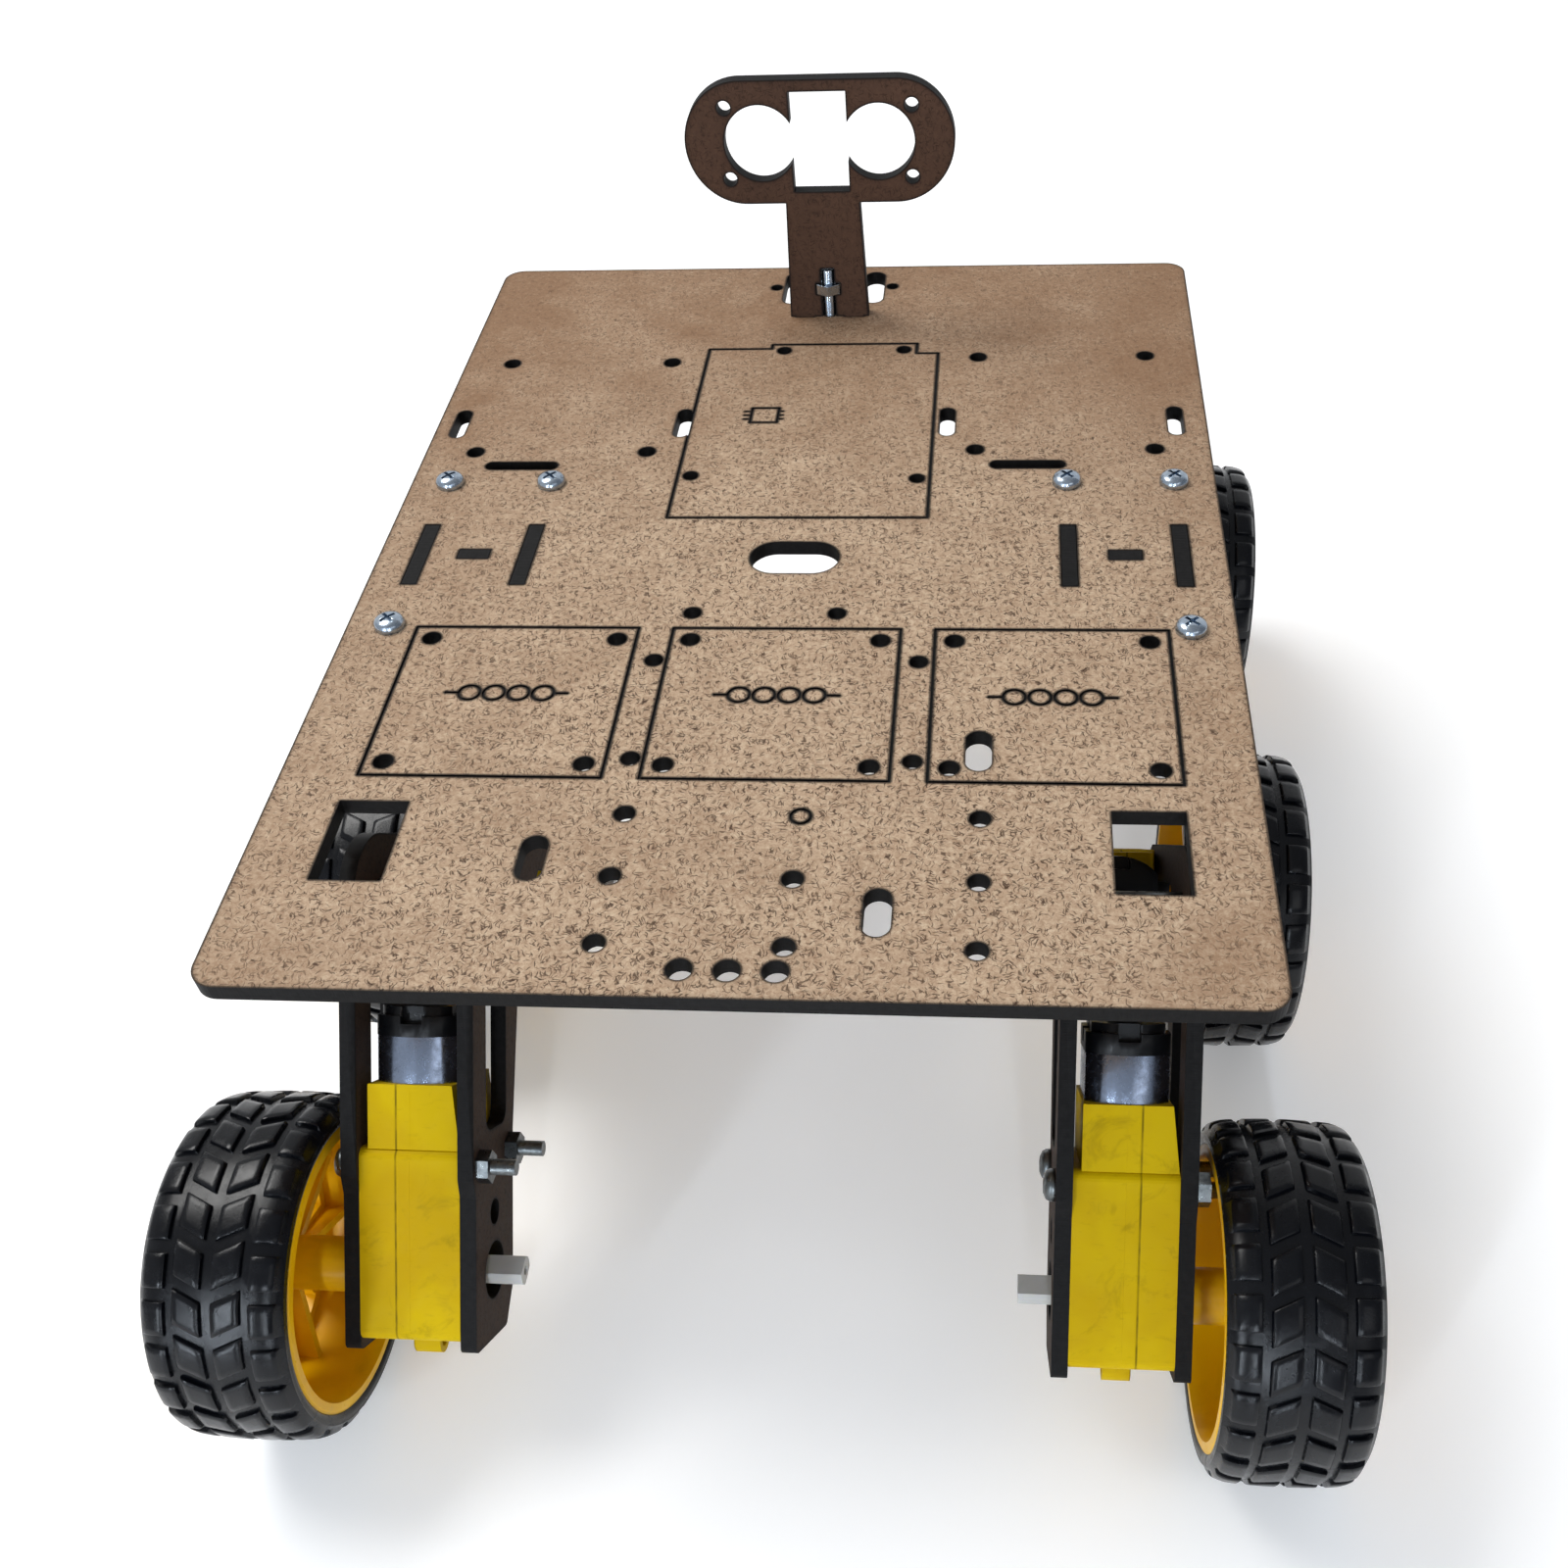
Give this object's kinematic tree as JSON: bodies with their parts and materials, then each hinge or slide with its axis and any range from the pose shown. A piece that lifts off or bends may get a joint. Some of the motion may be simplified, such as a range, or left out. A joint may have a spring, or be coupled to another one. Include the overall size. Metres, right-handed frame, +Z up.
{
  "type": "six wheel rover chassis",
  "caption": "Laser-cut rocker-bogie robot chassis: drilled deck with sensor bracket, pivoting legs, yellow gearmotors and treaded wheels.",
  "frame": {"origin": "on the ground under the centre of the chassis' box, midway between the left and right wheels and between the front and rear axles", "axes": "+Y forward, toward the end with the sensor bracket; +X to the right; +Z up from the ground"},
  "size_m": [0.2136, 0.282, 0.1657],
  "materials": {
    "mdf_face": "laser-cut fibreboard, brown face with burnt edges",
    "mdf_dark": "laser-cut fibreboard, dark side face",
    "mdf_bracket": "laser-cut fibreboard, dark brown",
    "zinc_steel": "bright zinc plated",
    "gearbox_plastic": "yellow moulded, fine matte grain",
    "motor_steel": "drawn steel can",
    "motor_cap_plastic": "black moulded",
    "rim_plastic": "orange-yellow moulded",
    "tyre_rubber": "black rubber, satin",
    "shaft_nylon": "white nylon"
  },
  "bodies": {
    "chassis": {"top_plate": "mdf_face", "sensor_bracket": "mdf_bracket", "left_hanger_outer": "mdf_dark", "left_hanger_inner": "mdf_dark", "left_hanger_brace": "mdf_dark", "right_hanger_outer": "mdf_dark", "right_hanger_inner": "mdf_dark", "right_hanger_brace": "mdf_dark", "chassis_screws": "zinc_steel", "chassis_nuts": "zinc_steel", "rocker_pivot_bolts": "zinc_steel", "rocker_pivot_spacers": "zinc_steel"},
    "left_rocker": {"left_rocker_arm": "mdf_dark", "left_front_leg_outer": "mdf_dark", "left_front_leg_inner": "mdf_dark", "left_front_gearbox_outer": "gearbox_plastic", "left_front_gearbox_inner": "gearbox_plastic", "left_front_motor_can": "motor_steel", "left_front_motor_cap": "motor_cap_plastic", "left_rocker_fasteners": "zinc_steel"},
    "right_rocker": {"right_rocker_arm": "mdf_dark", "right_front_leg_outer": "mdf_dark", "right_front_leg_inner": "mdf_dark", "right_front_gearbox_outer": "gearbox_plastic", "right_front_gearbox_inner": "gearbox_plastic", "right_front_motor_can": "motor_steel", "right_front_motor_cap": "motor_cap_plastic", "right_rocker_fasteners": "zinc_steel"},
    "left_bogie": {"left_bogie_outer": "mdf_dark", "left_bogie_inner": "mdf_dark", "left_bogie_gearboxes_outer": "gearbox_plastic", "left_bogie_gearboxes_inner": "gearbox_plastic", "left_bogie_motor_cans": "motor_steel", "left_bogie_motor_caps": "motor_cap_plastic", "left_bogie_fasteners": "zinc_steel"},
    "right_bogie": {"right_bogie_outer": "mdf_dark", "right_bogie_inner": "mdf_dark", "right_bogie_gearboxes_outer": "gearbox_plastic", "right_bogie_gearboxes_inner": "gearbox_plastic", "right_bogie_motor_cans": "motor_steel", "right_bogie_motor_caps": "motor_cap_plastic", "right_bogie_fasteners": "zinc_steel"},
    "left_front_wheel": {"left_front_tyre": "tyre_rubber", "left_front_rim": "rim_plastic", "left_front_shaft": "shaft_nylon"},
    "left_middle_wheel": {"left_middle_tyre": "tyre_rubber", "left_middle_rim": "rim_plastic", "left_middle_shaft": "shaft_nylon"},
    "left_rear_wheel": {"left_rear_tyre": "tyre_rubber", "left_rear_rim": "rim_plastic", "left_rear_shaft": "shaft_nylon"},
    "right_front_wheel": {"right_front_tyre": "tyre_rubber", "right_front_rim": "rim_plastic", "right_front_shaft": "shaft_nylon"},
    "right_middle_wheel": {"right_middle_tyre": "tyre_rubber", "right_middle_rim": "rim_plastic", "right_middle_shaft": "shaft_nylon"},
    "right_rear_wheel": {"right_rear_tyre": "tyre_rubber", "right_rear_rim": "rim_plastic", "right_rear_shaft": "shaft_nylon"}
  },
  "joints": [
    {"name": "left_rocker_pivot", "type": "hinge", "parent": "chassis", "child": "left_rocker", "pos_m": [-0.0654, 0.01, 0.083], "axis": [1, 0, 0], "range_deg": [-8, 8]},
    {"name": "left_bogie_pivot", "type": "hinge", "parent": "left_rocker", "child": "left_bogie", "pos_m": [-0.0654, -0.058, 0.083], "axis": [1, 0, 0], "range_deg": [-20, 18]},
    {"name": "left_front_wheel_spin", "type": "hinge", "parent": "left_rocker", "child": "left_front_wheel", "pos_m": [-0.0938, 0.108, 0.033], "axis": [1, 0, 0], "continuous": true},
    {"name": "left_middle_wheel_spin", "type": "hinge", "parent": "left_bogie", "child": "left_middle_wheel", "pos_m": [-0.0938, -0.008, 0.033], "axis": [1, 0, 0], "continuous": true},
    {"name": "left_rear_wheel_spin", "type": "hinge", "parent": "left_bogie", "child": "left_rear_wheel", "pos_m": [-0.0938, -0.108, 0.033], "axis": [1, 0, 0], "continuous": true},
    {"name": "right_rocker_pivot", "type": "hinge", "parent": "chassis", "child": "right_rocker", "pos_m": [0.0654, 0.01, 0.083], "axis": [1, 0, 0], "range_deg": [-8, 8]},
    {"name": "right_bogie_pivot", "type": "hinge", "parent": "right_rocker", "child": "right_bogie", "pos_m": [0.0654, -0.058, 0.083], "axis": [1, 0, 0], "range_deg": [-20, 18]},
    {"name": "right_front_wheel_spin", "type": "hinge", "parent": "right_rocker", "child": "right_front_wheel", "pos_m": [0.0938, 0.108, 0.033], "axis": [1, 0, 0], "continuous": true},
    {"name": "right_middle_wheel_spin", "type": "hinge", "parent": "right_bogie", "child": "right_middle_wheel", "pos_m": [0.0938, -0.008, 0.033], "axis": [1, 0, 0], "continuous": true},
    {"name": "right_rear_wheel_spin", "type": "hinge", "parent": "right_bogie", "child": "right_rear_wheel", "pos_m": [0.0938, -0.108, 0.033], "axis": [1, 0, 0], "continuous": true}
  ]
}
